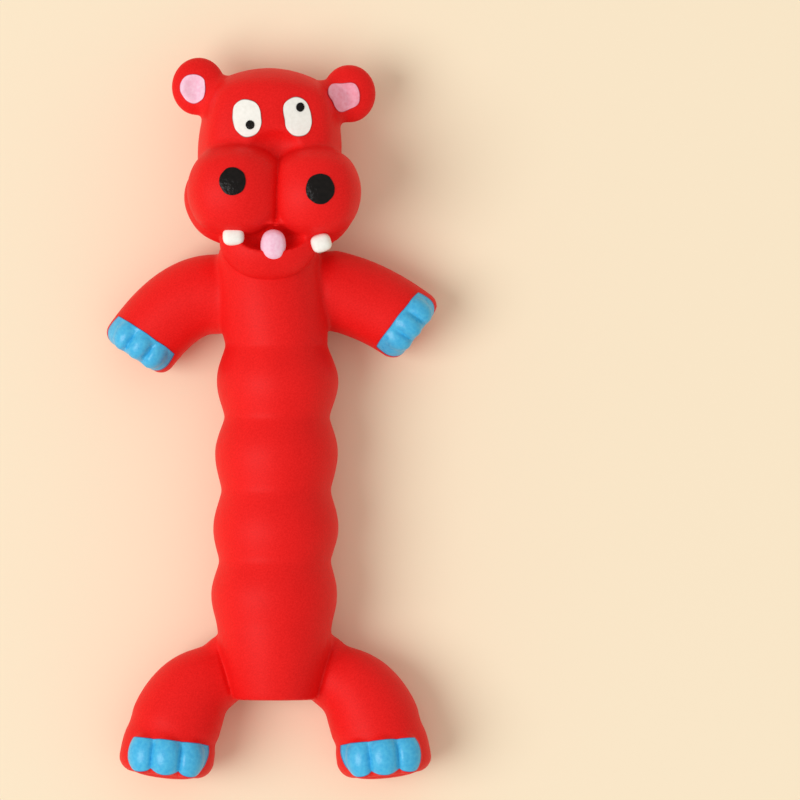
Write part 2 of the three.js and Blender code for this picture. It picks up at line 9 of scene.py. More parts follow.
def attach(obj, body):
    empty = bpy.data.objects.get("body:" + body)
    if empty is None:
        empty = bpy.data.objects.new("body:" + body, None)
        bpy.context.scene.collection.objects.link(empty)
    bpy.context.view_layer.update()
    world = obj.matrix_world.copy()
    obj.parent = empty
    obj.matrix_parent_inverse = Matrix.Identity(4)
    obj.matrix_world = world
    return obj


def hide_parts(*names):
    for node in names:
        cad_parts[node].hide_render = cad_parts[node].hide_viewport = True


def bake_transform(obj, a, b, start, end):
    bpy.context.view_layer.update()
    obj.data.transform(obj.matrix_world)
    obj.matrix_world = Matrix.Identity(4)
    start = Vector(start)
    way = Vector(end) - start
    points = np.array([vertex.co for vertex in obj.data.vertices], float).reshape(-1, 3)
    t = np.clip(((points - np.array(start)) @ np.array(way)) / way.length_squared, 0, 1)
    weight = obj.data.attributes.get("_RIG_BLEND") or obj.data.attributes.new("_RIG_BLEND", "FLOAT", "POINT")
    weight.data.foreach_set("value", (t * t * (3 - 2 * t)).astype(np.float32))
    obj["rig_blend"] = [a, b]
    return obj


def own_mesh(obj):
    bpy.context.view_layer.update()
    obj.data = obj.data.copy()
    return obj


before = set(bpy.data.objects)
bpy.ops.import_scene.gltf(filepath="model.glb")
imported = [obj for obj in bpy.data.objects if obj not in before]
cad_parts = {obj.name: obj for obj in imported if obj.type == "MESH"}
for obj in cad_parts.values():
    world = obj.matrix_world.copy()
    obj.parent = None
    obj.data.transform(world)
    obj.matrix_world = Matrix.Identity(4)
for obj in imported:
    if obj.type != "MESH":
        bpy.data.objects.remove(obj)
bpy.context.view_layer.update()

# Trunk of the latex skin: a hollow dipped moulding, round in section, with four swollen ribs
# between soft creases, plain shoulders under the head and a tapered end cut flat between the legs.
mm = 0.001
trunk_axis = 19.8
trunk_sides = 96
trunk_step = 1.1
rib_crests = [(24.0, 20.3), (0.0, 20.5), (-25.0, 20.9), (-47.0, 21.0)]
rib_creases = [(36.0, 17.0), (12.0, 17.5), (-12.5, 18.2), (-36.0, 18.6), (-58.0, 19.1)]
rib_fullness = 1.25
neck_height = 62.0
neck_radius = 17.2
neck_aside = -2.2
shoulder_swell = 1.2
trunk_end = -82.3
trunk_end_radius = 13.2
trunk_end_rounding = 0.6
trunk_end_taper = 1.4
neck_dome_angles = np.arange(0, 80, 8)
trunk_sway = [
    (trunk_end, 0),
    (-47, -0.3),
    (-25, 0.3),
    (0, 0.5),
    (24, 0.9),
    (36, 0.5),
    (48, -0.9),
    (neck_height, neck_aside),
]


def trunk_radius(y):
    """The trunk's outer radius at a height, in millimetres."""
    top, top_radius = rib_creases[0]
    bottom, bottom_radius = rib_creases[-1]
    if y >= top:
        up = (y - top) / (neck_height - top)
        swell = shoulder_swell * math.sin(math.pi * up)
        return top_radius + (neck_radius - top_radius) * up + swell
    if y <= bottom:
        down = (bottom - y) / (bottom - trunk_end)
        return bottom_radius + (trunk_end_radius - bottom_radius) * down**trunk_end_taper
    for (crest, crest_radius), upper, lower in zip(rib_crests, rib_creases, rib_creases[1:]):
        if lower[0] <= y <= upper[0]:
            crease, crease_radius = upper if y > crest else lower
            swell = math.sin(0.5 * math.pi * (y - crease) / (crest - crease)) ** rib_fullness
            return crease_radius + (crest_radius - crease_radius) * swell


def nothing_selected():
    bpy.ops.object.select_all(action="DESELECT")


def take(piece):
    nothing_selected()
    piece.select_set(True)
    bpy.context.view_layer.objects.active = piece


def swept_form(name, stations, sides):
    """A disc extruded from station to station, each a centre, a heading from -Y and a radius."""
    centre, heading, radius = stations[0]
    nothing_selected()
    bpy.ops.mesh.primitive_circle_add(
        vertices=sides,
        radius=radius * mm,
        fill_type="NGON",
        location=Vector(centre) * mm,
        rotation=(0.5 * math.pi, 0, heading),
    )
    form = bpy.context.object
    form.name = name
    bpy.ops.object.transform_apply(location=True, rotation=True, scale=True)
    bpy.ops.object.mode_set(mode="EDIT")
    bpy.ops.mesh.select_all(action="SELECT")
    for (here, turn, size), (there, next_turn, next_size) in zip(stations, stations[1:]):
        step = (Vector(there) - Vector(here)) * mm
        middle = Vector(there) * mm
        bpy.ops.mesh.extrude_region_move(TRANSFORM_OT_translate={"value": step})
        if next_turn != turn:
            bpy.ops.transform.rotate(
                value=turn - next_turn, orient_axis="Z", center_override=middle
            )
        bpy.ops.transform.resize(value=(next_size / size,) * 3, center_override=middle)
    bpy.ops.mesh.select_all(action="SELECT")
    bpy.ops.mesh.normals_make_consistent(inside=False)
    bpy.ops.object.mode_set(mode="OBJECT")
    return form


first_turn = 0.3 * trunk_end_rounding
trunk_stations = [
    ((0, trunk_end, trunk_axis), 0, trunk_end_radius - trunk_end_rounding),
    ((0, trunk_end + first_turn, trunk_axis), 0, trunk_end_radius - first_turn),
]
for height in np.arange(trunk_end + trunk_end_rounding, neck_height, trunk_step).tolist():
    aside = float(np.interp(height, *zip(*trunk_sway)))
    trunk_stations.append(((aside, height, trunk_axis), 0, trunk_radius(height)))
for angle in np.radians(neck_dome_angles):
    rise = neck_height + neck_radius * math.sin(angle)
    trunk_stations.append(((neck_aside, float(rise), trunk_axis), 0, neck_radius * math.cos(angle)))
trunk = swept_form("trunk_skin", trunk_stations, trunk_sides)

# Arms: two stub limbs of the same moulding, which leave the shoulders level with the back, droop
# to the sides and end in blunt paws, each with a row of three toes.
limb_sides = 72
arm_radius = 13.4
paw_radius = 12.6
arm_rounding = 4.2
arm_sink = (0.62, 0.92)
limb_rest = 0.3
limb_steps = 24
root_depths = (9, 4)
fold_place = 0.74
fold_width = 0.05
blunt_end_angles = [12, 26, 40, 54, 68, 80]


def limb_stations(root, bend, tip, root_radius, tip_radius, rounding, sink, fullness=1, fold=0):
    """Stations from inside the trunk along a bent limb, past a fold, to its blunt end."""
    root, bend, tip = Vector(root), Vector(bend), Vector(tip)

    def point(t):
        return (1 - t) ** 2 * root + 2 * t * (1 - t) * bend + t * t * tip

    def heading(t):
        way = (1 - t) * (bend - root) + t * (tip - bend)
        return math.atan2(way.x, -way.y)

    inward = (root - bend).normalized()
    stations = [
        (root + depth * inward, heading(0), share * root_radius)
        for depth, share in zip(root_depths, sink)
    ]
    last = 1 - rounding / (2 * (tip - bend).length)
    for t in np.linspace(0, last, limb_steps).tolist():
        radius = tip_radius + (root_radius - tip_radius) * (1 - t) ** fullness
        drawn_in = fold * math.exp(-(((t - fold_place) / fold_width) ** 2))
        stations.append((point(t), heading(t), radius - drawn_in))
    outward = (tip - bend).normalized()
    for angle in np.radians(blunt_end_angles).tolist():
        back = rounding * (1 - math.sin(angle))
        radius = tip_radius - rounding * (1 - math.cos(angle))
        stations.append((tip - back * outward, heading(1), radius))
    return stations


arm_height = arm_radius + limb_rest
paw_height = paw_radius + limb_rest
left_arm_path = [(-18, 52.8, arm_height), (-32.2, 54.9, arm_height), (-47.4, 32.1, paw_height)]
right_arm_path = [(18, 54.4, arm_height), (33, 51.6, arm_height), (47.9, 40.0, paw_height)]
arm_make = (arm_radius, paw_radius, arm_rounding, arm_sink)
arms = [
    swept_form(name, limb_stations(*path, *arm_make), limb_sides)
    for name, path in (("left_arm_form", left_arm_path), ("right_arm_form", right_arm_path))
]

# Legs: thicker limbs of the same moulding, which leave the hips to the sides, bend downwards and
# end in blunt feet. A thin lip of the moulding stands out under the toes.
leg_radius = 10.3
leg_sink = (0.45, 0.74)
leg_fullness = 2
ankle_fold = 0.7
foot_radius = 15.8
foot_rounding = 5.5
leg_height = 13.3
knee_height = 14.7
foot_height = foot_radius + limb_rest
hip_web_place = (17.6, -66.6, 14)
hip_web_half = (6.4, 6.0, 6.5)
foot_lip_half = (10.5, 1.7, 4.5)
foot_lip_back = 0.5
foot_lip_drop = 2
ball_sides = 64
ball_rings = 40
box_passes = 16
signs = {"left": -1, "right": 1}
left_leg_path = [
    (-16, -74.5, leg_height),
    (-33.5, -76.5, knee_height),
    (-36.9, -107.4, foot_height),
]
right_leg_path = [
    (16, -74.5, leg_height),
    (33.9, -76.5, knee_height),
    (37.0, -107.4, foot_height),
]
leg_make = (leg_radius, foot_radius, foot_rounding, leg_sink, leg_fullness, ankle_fold)
legs = [
    swept_form(name, limb_stations(*path, *leg_make), limb_sides)
    for name, path in (("left_leg_form", left_leg_path), ("right_leg_form", right_leg_path))
]


def modify(piece, kind, **settings):
    """Adds a modifier to a piece and applies it."""
    take(piece)
    step = piece.modifiers.new(kind.title(), kind)
    for setting, value in settings.items():
        setattr(step, setting, value)
    bpy.ops.object.modifier_apply(modifier=step.name)


def smoothed(piece, passes, **settings):
    """Smooths a piece, all over or as far as a vertex group says."""
    modify(piece, "SMOOTH", factor=0.5, iterations=passes, **settings)


def swollen(name, middle, half, turn=None, boxiness=0):
    """A ball swollen to its half sizes, and a little towards a box, in a place in millimetres."""
    nothing_selected()
    bpy.ops.mesh.primitive_uv_sphere_add(segments=ball_sides, ring_count=ball_rings, radius=1)
    form = bpy.context.object
    form.name = name
    if boxiness:
        modify(form, "CAST", cast_type="CUBOID", factor=boxiness)
        smoothed(form, box_passes)
    turned = turn if turn is not None else Matrix.Identity(3)
    scale = Vector([2 * size * mm / reach for size, reach in zip(half, form.dimensions)])
    form.matrix_world = Matrix.LocRotScale(Vector(middle) * mm, turned.to_quaternion(), scale)
    take(form)
    bpy.ops.object.transform_apply(location=True, rotation=True, scale=True)
    return form


def limb_end(path):
    """The end of a limb: its tip, and the ways across it, towards its front and out of it."""
    tip, bend = Vector(path[2]), Vector(path[1])
    out = (tip - bend).normalized()
    out.z = 0
    out.normalize()
    front = Vector((0, 0, 1))
    return tip, out.cross(front), front, out


hip_webs = [
    swollen("hip_web", (sign * hip_web_place[0], *hip_web_place[1:]), hip_web_half)
    for sign in signs.values()
]
foot_lips = []
for name, path in (("left_foot_lip", left_leg_path), ("right_foot_lip", right_leg_path)):
    tip, across, front, out = limb_end(path)
    turn = Matrix((across, out, front)).transposed()
    middle = tip - foot_lip_back * out - foot_lip_drop * front
    foot_lips.append(swollen(name, middle, foot_lip_half, turn))

# Toes: three rounded knuckles side by side at the front of each paw and foot, moulded in one with
# the skin. A kind of toe is a pitch, half sizes and how far the knuckles stand proud of the limb.
paw_toe = (7.2, (4.0, 5.4, 3.8), 1.4)
foot_toe = (9.6, (5.2, 7.0, 4.4), 1.8)
toe_overhang = 0.3
toe_rows = [
    ("left_paw", left_arm_path, paw_radius, *paw_toe),
    ("right_paw", right_arm_path, paw_radius, *paw_toe),
    ("left_foot", left_leg_path, foot_radius, *foot_toe),
    ("right_foot", right_leg_path, foot_radius, *foot_toe),
]
toes = []
for name, path, radius, pitch, half, proud in toe_rows:
    tip, across, front, out = limb_end(path)
    for place in (-1, 0, 1):
        round_limb = place * pitch / radius
        up = math.cos(round_limb) * front + math.sin(round_limb) * across
        side = out.cross(up)
        middle = tip + (radius + proud - half[2]) * up - (half[1] - toe_overhang) * out
        turn = Matrix((side, out, up)).transposed()
        toes.append(swollen(f"{name}_toe", middle, half, turn))

# One red latex skin: the trunk, limbs and toes come out of the mould as a single seamless wall, so
# the forms are fused, their roots are filleted, fine lines are pressed at the hips and between the
# toes, and the skin is parted only where it flexes.
latex_wall = 1.8
skin_grain = 0.7
skin_passes = 3
share_levels = 20
soft_fade = 1.6
shoulder_height = 54
shoulder_fillets = [((sign * 18, shoulder_height, 18), 20) for sign in signs.values()]
hip_fillets = [((sign * 23, -64, 14), 14) for sign in signs.values()]
hip_folds = [((sign * 17, -73, 18), 20) for sign in signs.values()]
skin_softening = [(shoulder_fillets, 12), (hip_folds, 2), (hip_fillets, 60)]
hip_crease = [(14.0, -82), (16.4, -73), (18.2, -67), (19.2, -63)]
line_reach = 2.5
line_end_fade = 3
line_foot_fade = 4
groove_height = 0.5
groove_half_width = 0.8
groove_depth = 1.0
groove_overrun = 3
groove_short = 2
ground_gap = 0.02


def fused(name, forms, grain):
    """Joins closed forms and remeshes them as one closed surface."""
    nothing_selected()
    for form in forms:
        form.select_set(True)
    bpy.context.view_layer.objects.active = forms[0]
    bpy.ops.object.join()
    skin = bpy.context.object
    skin.name = name
    modify(skin, "REMESH", mode="VOXEL", voxel_size=grain * mm)
    return skin


def points_of(piece):
    """A mesh's points, in millimetres."""
    points = np.empty(3 * len(piece.data.vertices))
    piece.data.vertices.foreach_get("co", points)
    return points.reshape(-1, 3) / mm


def weighted(skin, share):
    """A vertex group that holds each point's share, from 0 to 1, in even levels."""
    group = skin.vertex_groups.new(name="share")
    for level in range(1, share_levels + 1):
        chosen = np.nonzero(np.round(share_levels * share) == level)[0]
        group.add(chosen.tolist(), level / share_levels, "REPLACE")
    return group.name


def soften(skin, places, passes):
    """Smooths a skin round some places, each a middle and a reach, and fades out from them."""
    points = points_of(skin)
    share = np.zeros(len(points))
    for middle, reach in places:
        distance = np.linalg.norm(points - np.array(middle), axis=1)
        share = np.maximum(share, np.clip(soft_fade * (1 - distance / reach), 0, 1))
    smoothed(skin, passes, vertex_group=weighted(skin, share))
    skin.vertex_groups.clear()


def choose_faces(piece, wanted):
    """Selects, in edit mode, only the faces whose middles are wanted."""
    bpy.ops.mesh.select_all(action="DESELECT")
    mesh = bmesh.from_edit_mesh(piece.data)
    for face in mesh.faces:
        if wanted(face.calc_center_median()):
            face.select_set(True)
    bmesh.update_edit_mesh(piece.data)


def part_off(skin, name, point, way, near):
    """Cuts a skin through a point, square to a way, and parts off what is near and beyond."""
    point, way = Vector(point) * mm, Vector(way)
    take(skin)
    bpy.ops.object.mode_set(mode="EDIT")
    bpy.ops.mesh.select_mode(type="FACE")
    choose_faces(skin, near)
    bpy.ops.mesh.bisect(plane_co=point, plane_no=way)
    choose_faces(skin, lambda middle: near(middle) and (middle - point).dot(way) > 0)
    bpy.ops.mesh.separate(type="SELECTED")
    bpy.ops.object.mode_set(mode="OBJECT")
    parted = next(piece for piece in bpy.context.selected_objects if piece != skin)
    parted.name = name
    return parted


def shaded(piece, sharp=60):
    """Shades a piece smooth, but for edges that turn by more than an angle in degrees."""
    take(piece)
    bpy.ops.object.shade_smooth_by_angle(angle=math.radians(sharp))


def give_wall(piece):
    """Turns a skin's surface into a wall of latex, and shades it smooth but for its cut edges."""
    modify(piece, "SOLIDIFY", thickness=latex_wall * mm, offset=-1)
    shaded(piece)


def pressed_line(skin, line, above, half_width, depth):
    """Presses a fine line into a skin's front, above a height, along points, faded at its ends."""
    aside, height = np.array(line).T

    def off(x, y):
        return np.abs(x - np.interp(y, height, aside))

    def close(middle):
        x, y, z = middle / mm
        return z > above and height[0] < y < height[-1] and off(x, y) < line_reach * half_width

    take(skin)
    bpy.ops.object.mode_set(mode="EDIT")
    bpy.ops.mesh.select_mode(type="FACE")
    choose_faces(skin, close)
    bpy.ops.mesh.subdivide(number_cuts=2)
    bpy.ops.object.mode_set(mode="OBJECT")
    x, y, z = points_of(skin).T
    ends = np.clip(np.minimum(y - height[0], height[-1] - y) / line_end_fade, 0, 1)
    foot = np.clip((z - above) / line_foot_fade, 0, 1)
    share = np.exp(-((off(x, y) / half_width) ** 2)) * ends * foot
    pressed = weighted(skin, share)
    down = -depth * mm
    modify(skin, "DISPLACE", direction="Z", strength=down, mid_level=0, vertex_group=pressed)
    skin.vertex_groups.clear()


def lay_flat(skin):
    """Presses the lowest faces of a skin flat on the ground that it lies on."""
    take(skin)
    bpy.ops.object.mode_set(mode="EDIT")
    choose_faces(skin, lambda middle: middle.z < ground_gap * mm)
    bpy.ops.transform.resize(value=(1, 1, 0), center_override=(0, 0, 0))
    bpy.ops.object.mode_set(mode="OBJECT")


skin = fused("chest_wall", [trunk, *arms, *legs, *hip_webs, *foot_lips, *toes], skin_grain)
smoothed(skin, skin_passes)
for places, passes in skin_softening:
    soften(skin, places, passes)
for sign in signs.values():
    crease = [(sign * aside, height) for aside, height in hip_crease]
    pressed_line(skin, crease, above=17, half_width=0.9, depth=0.8)
for _, path, radius, pitch, half, _ in toe_rows:
    tip, across, _, out = limb_end(path)
    for place in (-0.5, 0.5):
        beside = tip + radius * math.sin(place * pitch / radius) * across
        back = beside - (2 * half[1] - groove_short) * out
        groove = [tuple(beside + groove_overrun * out)[:2], tuple(back)[:2]]
        pressed_line(
            skin,
            groove,
            above=tip.z + groove_height * radius,
            half_width=groove_half_width / abs(out.y),
            depth=groove_depth,
        )
lay_flat(skin)


def copied(piece, name):
    """A copy of a piece with a mesh of its own."""
    copy = piece.copy()
    copy.data = piece.data.copy()
    copy.name = name
    bpy.context.collection.objects.link(copy)
    return copy


body_form = copied(skin, "body_form")
shoulder_cut = 18.6
arm_aside = 22.5
arm_lowest = 20
arm_root_lowest = 38
waist_cut = -2.0
hip_cut = (13.5, -74)
hip_way = (0.93, -0.37)
leg_highest = -50


def parted_body(body, suffix):
    """Parts the arms, the legs and the lower body off a whole body, and returns all by name."""
    parts = {"chest": body}
    for side, sign in signs.items():

        def near_arm(middle, sign=sign):
            beside = sign * middle.x > arm_aside * mm
            return middle.y > (arm_lowest if beside else arm_root_lowest) * mm

        def near_leg(middle, sign=sign):
            return sign * middle.x > 0 and middle.y < leg_highest * mm

        parts[f"{side}_arm"] = part_off(
            body,
            f"{side}_arm_{suffix}",
            (sign * shoulder_cut, shoulder_height, 0),
            (sign, 0, 0),
            near_arm,
        )
        parts[f"{side}_leg"] = part_off(
            body,
            f"{side}_leg_{suffix}",
            (sign * hip_cut[0], hip_cut[1], 0),
            (sign * hip_way[0], hip_way[1], 0),
            near_leg,
        )
    parts["lower"] = part_off(
        body, f"lower_{suffix}", (0, waist_cut, 0), (0, -1, 0), lambda middle: True
    )
    return parts


def cut_away(cutter, *pieces):
    """Cuts a closed form out of some pieces, then takes the form away."""
    for piece in pieces:
        modify(piece, "BOOLEAN", operation="DIFFERENCE", object=cutter, solver="EXACT")
    bpy.data.objects.remove(cutter)


walls = parted_body(skin, "wall")
for wall in walls.values():
    give_wall(wall)
fill_hole_radius = 3.65
fill_hole_sides = 48
hole_reach = (-1, 5)
fill_hole = swept_form(
    "fill_hole",
    [((0, trunk_end + up, trunk_axis), 0, fill_hole_radius) for up in hole_reach],
    fill_hole_sides,
)
cut_away(fill_hole, walls["lower"])


def linear(red, green, blue):
    """A colour as it looks on a screen, 0 to 255, in the linear values that a shader takes."""
    shares = [value / 255 for value in (red, green, blue)]
    return tuple(s / 12.92 if s <= 0.04045 else ((s + 0.055) / 1.055) ** 2.4 for s in shares) + (1,)


def rubber(name, pale, deep, roughness, speck, relief, shine=0.14, stroke=90, edge=None):
    """A matt rubbery finish: two near colours in clouds and specks, and a fine grain in relief.

    Paint also gets the colour of its thin edge, where a patch has its rim marked: a darker colour, partly
    red showing through thin paint, partly painted shade along the coat's edge.
    """
    finish = bpy.data.materials.new(name)
    finish.use_nodes = True
    nodes, links = finish.node_tree.nodes, finish.node_tree.links
    shader = nodes["Principled BSDF"]
    shader.inputs["Specular IOR Level"].default_value = shine
    place = nodes.new("ShaderNodeTexCoord")
    streak = nodes.new("ShaderNodeMapping")
    streak.inputs["Scale"].default_value = (1, 0.4, 1)
    cloud = nodes.new("ShaderNodeTexNoise")
    cloud.inputs["Scale"].default_value = stroke
    cloud.inputs["Detail"].default_value = 4
    grain = nodes.new("ShaderNodeTexNoise")
    grain.inputs["Scale"].default_value = speck
    grain.inputs["Detail"].default_value = 3
    both = nodes.new("ShaderNodeMath")
    both.operation = "MULTIPLY_ADD"
    both.inputs[1].default_value = 0.3
    tone = nodes.new("ShaderNodeValToRGB")
    tone.color_ramp.elements[0].position = 0.45
    tone.color_ramp.elements[0].color = deep
    tone.color_ramp.elements[1].position = 0.85
    tone.color_ramp.elements[1].color = pale
    gloss = nodes.new("ShaderNodeMapRange")
    gloss.inputs["To Min"].default_value = roughness - 0.07
    gloss.inputs["To Max"].default_value = roughness + 0.09
    wave = nodes.new("ShaderNodeBump")
    wave.inputs["Strength"].default_value = 0.3
    wave.inputs["Distance"].default_value = 0.5 * mm
    bump = nodes.new("ShaderNodeBump")
    bump.inputs["Strength"].default_value = relief
    bump.inputs["Distance"].default_value = 0.3 * mm
    links.new(place.outputs["Object"], streak.inputs["Vector"])
    links.new(streak.outputs["Vector"], cloud.inputs["Vector"])
    links.new(cloud.outputs["Fac"], wave.inputs["Height"])
    links.new(wave.outputs["Normal"], bump.inputs["Normal"])
    links.new(place.outputs["Object"], grain.inputs["Vector"])
    links.new(cloud.outputs["Fac"], both.inputs[0])
    links.new(grain.outputs["Fac"], both.inputs[2])
    links.new(both.outputs[0], tone.inputs["Fac"])
    colour = tone.outputs["Color"]
    # Darker rim colour: partly red showing through thin paint, partly painted shade along the coat's edge.
    if edge:
        rim = nodes.new("ShaderNodeAttribute")
        rim.attribute_name = "rim"
        thin = nodes.new("ShaderNodeMapRange")
        thin.inputs["From Min"].default_value = 0.94
        edge_stain_and_shade = nodes.new("ShaderNodeMix")
        edge_stain_and_shade.data_type = "RGBA"
        amount, middle_colour, edge_colour = (edge_stain_and_shade.inputs[socket] for socket in (0, 6, 7))
        edge_colour.default_value = edge
        links.new(rim.outputs["Fac"], thin.inputs["Value"])
        links.new(thin.outputs["Result"], amount)
        links.new(colour, middle_colour)
        colour = edge_stain_and_shade.outputs[2]
    links.new(colour, shader.inputs["Base Color"])
    links.new(grain.outputs["Fac"], gloss.inputs["Value"])
    links.new(gloss.outputs["Result"], shader.inputs["Roughness"])
    links.new(grain.outputs["Fac"], bump.inputs["Height"])
    links.new(bump.outputs["Normal"], shader.inputs["Normal"])
    return finish


def coat(piece, finish):
    """Gives a piece one finish, and no other."""
    piece.data.materials.clear()
    piece.data.materials.append(finish)


red_latex = rubber(
    "red_latex", linear(243, 30, 29), linear(227, 20, 19), roughness=0.5, speck=1900, relief=0.3
)
for wall in walls.values():
    coat(wall, red_latex)

belly_middle = 12.0
belly_half_width = 9.0
belly_half_length = 9.5
belly_back = 22
belly_front = 35
belly_edge = 1.3
belly_fade = 0.9


def dent_with_belly(piece):
    """The front of a piece follows the pressed belly, most in its middle, not past its edge."""
    back = (0, belly_middle * mm, belly_back * mm)
    front = (0, belly_middle * mm, belly_front * mm)
    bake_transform(piece, "chest", "belly", start=back, end=front)
    points = points_of(piece)
    across = points[:, 0] / belly_half_width
    along = (points[:, 1] - belly_middle) / belly_half_length
    fade = np.clip((belly_edge - np.hypot(across, along)) / belly_fade, 0, 1)
    follow = np.empty(len(points), np.float32)
    attribute = piece.data.attributes["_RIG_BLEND"]
    attribute.data.foreach_get("value", follow)
    attribute.data.foreach_set("value", (follow * fade * fade * (3 - 2 * fade)).astype(np.float32))


dent_with_belly(walls["chest"])
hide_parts("chest_skin", "belly_wall")
waist_flex_end = -24
arm_flex_end = 35
hip_flex_reach = 22
waist_flex = {
    "start": (0, waist_cut * mm, trunk_axis * mm),
    "end": (0, waist_flex_end * mm, trunk_axis * mm),
}
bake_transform(walls["lower"], "chest", "lower_body", **waist_flex)
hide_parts("hip_skin")
arm_flex = {
    side: {
        "start": (sign * shoulder_cut * mm, shoulder_height * mm, arm_height * mm),
        "end": (sign * arm_flex_end * mm, shoulder_height * mm, arm_height * mm),
    }
    for side, sign in signs.items()
}
leg_flex = {
    side: {
        "start": (sign * hip_cut[0] * mm, hip_cut[1] * mm, leg_height * mm),
        "end": (
            sign * (hip_cut[0] + hip_flex_reach * hip_way[0]) * mm,
            (hip_cut[1] + hip_flex_reach * hip_way[1]) * mm,
            leg_height * mm,
        ),
    }
    for side, sign in signs.items()
}
for side in signs:
    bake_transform(walls[f"{side}_arm"], "chest", f"{side}_arm", **arm_flex[side])
    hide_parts(f"{side}_arm_skin")
    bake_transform(walls[f"{side}_leg"], "lower_body", f"{side}_leg", **leg_flex[side])
    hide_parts(f"{side}_leg_skin")

# Head: a squared skull, a wide muzzle with two big round cheeks and an underslung chin with the
# mouth scooped out of it, of the same latex. It sits over the neck and is turned a little.
head_grain = 0.62
head_passes = 2
neck_clearance = 0.1
neck_middle = Vector((0, neck_height, trunk_axis))
head_roll = Matrix.Rotation(math.radians(-3), 3, "Z")


def on_head(right, up, forward):
    """A place given from the middle of the neck, on the head as it is turned."""
    return neck_middle + head_roll @ Vector((right, up, forward))


skull = swollen("skull", on_head(-3.8, 38.2, 0), (24.0, 28.0, 20.2), head_roll, 0.36)
muzzle = swollen("muzzle", on_head(-2.6, 22.3, 8.2), (28.8, 17.8, 15), head_roll, 0.18)
left_cheek = swollen("left_cheek", (-12.7, 87.4, 35.5), (16.4, 15.6, 15.6), None, 0.12)
right_cheek = swollen("right_cheek", (13.4, 86.8, 35.5), (15.4, 15.4, 15.4), None, 0.12)
chin = swollen("chin", (-2.0, 70.2, 35.6), (16.3, 12.9, 9.2))
mouth_scoop = swollen("mouth_scoop", (-0.5, 71.6, 45), (11.6, 4.6, 9.5))
brow_hollow = swollen("brow_hollow", (0.6, 101.4, 45.0), (11.5, 7.8, 9.2))
cut_away(mouth_scoop, chin, muzzle)
cut_away(brow_hollow, skull, muzzle)
cheek_crease = [(0, 75.2), (0.6, 79.4), (0.7, 84.2), (1.0, 91.8), (1.4, 97.8), (1.6, 100.5)]

# Ears: two thick round flaps at the corners of the skull, dished in front. They come out of the
# mould in one with the head, so they are fused with it and parted again only where they flex.
skull_middle = on_head(-3, 36.6, 0)
ear_middles = {"left": on_head(-28.6, 58.7, 1), "right": on_head(21.6, 58.9, 1)}
ear_half = (8.9, 9.7, 5.0)
ear_dish_lift = Vector((-1.5, -0.9, 9))
ear_dish_half = (7, 7.4, 5.5)
ear_root_lift = Vector((0, 3, 0.8))
ear_root_half = (9, 8, 6.4)
ear_root_share = 0.3
ear_fillet_share = 0.36
ear_fillet_reach = 13
ear_cut_depth = 7.2
ear_lowest = 105
ear_aside = 12
ears = []
for side, middle in ear_middles.items():
    ear = swollen(f"{side}_ear_form", middle, ear_half, head_roll)
    dish = swollen(f"{side}_ear_dish", middle + ear_dish_lift, ear_dish_half, head_roll)
    cut_away(dish, ear)
    root_middle = middle.lerp(skull_middle, ear_root_share) + ear_root_lift
    root = swollen(f"{side}_ear_root", root_middle, ear_root_half)
    ears += [ear, root]

head = fused("head_wall", [skull, muzzle, left_cheek, right_cheek, chin, *ears], head_grain)
smoothed(head, head_passes)
ear_fillets = [
    (middle.lerp(skull_middle, ear_fillet_share), ear_fillet_reach)
    for middle in ear_middles.values()
]
brow_sides = [((-21, 101, 36), 12), ((20, 99.5, 36), 12), ((-27, 99, 26), 10), ((25, 97, 26), 10)]
brow_ridge = [((0.6, 106.5, 39), 11.5)]
for places, passes in [(ear_fillets, 45), (brow_sides, 50), (brow_ridge, 45)]:
    soften(head, places, passes)
pressed_line(head, cheek_crease, above=35, half_width=0.7, depth=1.3)
lay_flat(head)
head_form = copied(head, "head_form")

ear_ways = {"left": Vector((-0.89, 0.455, 0)), "right": Vector((0.89, 0.455, 0))}
ear_cuts = {side: middle - ear_cut_depth * ear_ways[side] for side, middle in ear_middles.items()}
ear_walls = {
    side: part_off(
        head,
        f"{side}_ear_wall",
        ear_cuts[side],
        ear_ways[side],
        lambda middle, sign=sign: sign * middle.x > ear_aside * mm and middle.y > ear_lowest * mm,
    )
    for side, sign in signs.items()
}
for wall in (head, *ear_walls.values()):
    give_wall(wall)
    coat(wall, red_latex)
neck_dome_middle = neck_middle + Vector((neck_aside, 0, 0))
neck_ball = swollen("neck_ball", neck_dome_middle, (neck_radius + neck_clearance,) * 3)
cut_away(neck_ball, head)
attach(head, "head")
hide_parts("head_skin")
ear_flex = {
    side: {"start": ear_cuts[side] * mm, "end": (ear_middles[side] - ear_ways[side]) * mm}
    for side in ear_middles
}
for side, wall in ear_walls.items():
    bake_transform(wall, "head", f"{side}_ear", **ear_flex[side])
    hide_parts(f"{side}_ear")

# Eyes: two wobbly ovals of white latex paint, brushed on the forehead, with black pupils that
# look apart.
paint_depth = 0.25
paint_key = 0.06
patch_hover = 30
brush_wobbles = [(0.012, 5), (0.006, 9)]
pupil_lift = 0.28


def drawn_grid(name, steps=44):
    """A flat grid with its rim marked, to start a patch of paint, and its points on a disc."""
    nothing_selected()
    bpy.ops.mesh.primitive_grid_add(x_subdivisions=steps, y_subdivisions=steps, size=2)
    patch = bpy.context.object
    patch.name = name
    grid = points_of(patch)[:, :2] * mm
    rim = patch.data.attributes.new("rim", "FLOAT", "POINT")
    rim.data.foreach_set("value", np.abs(grid).max(axis=1).astype(np.float32))
    right = grid[:, 0] * np.sqrt(1 - 0.5 * grid[:, 1] ** 2)
    up = grid[:, 1] * np.sqrt(1 - 0.5 * grid[:, 0] ** 2)
    return patch, right, up


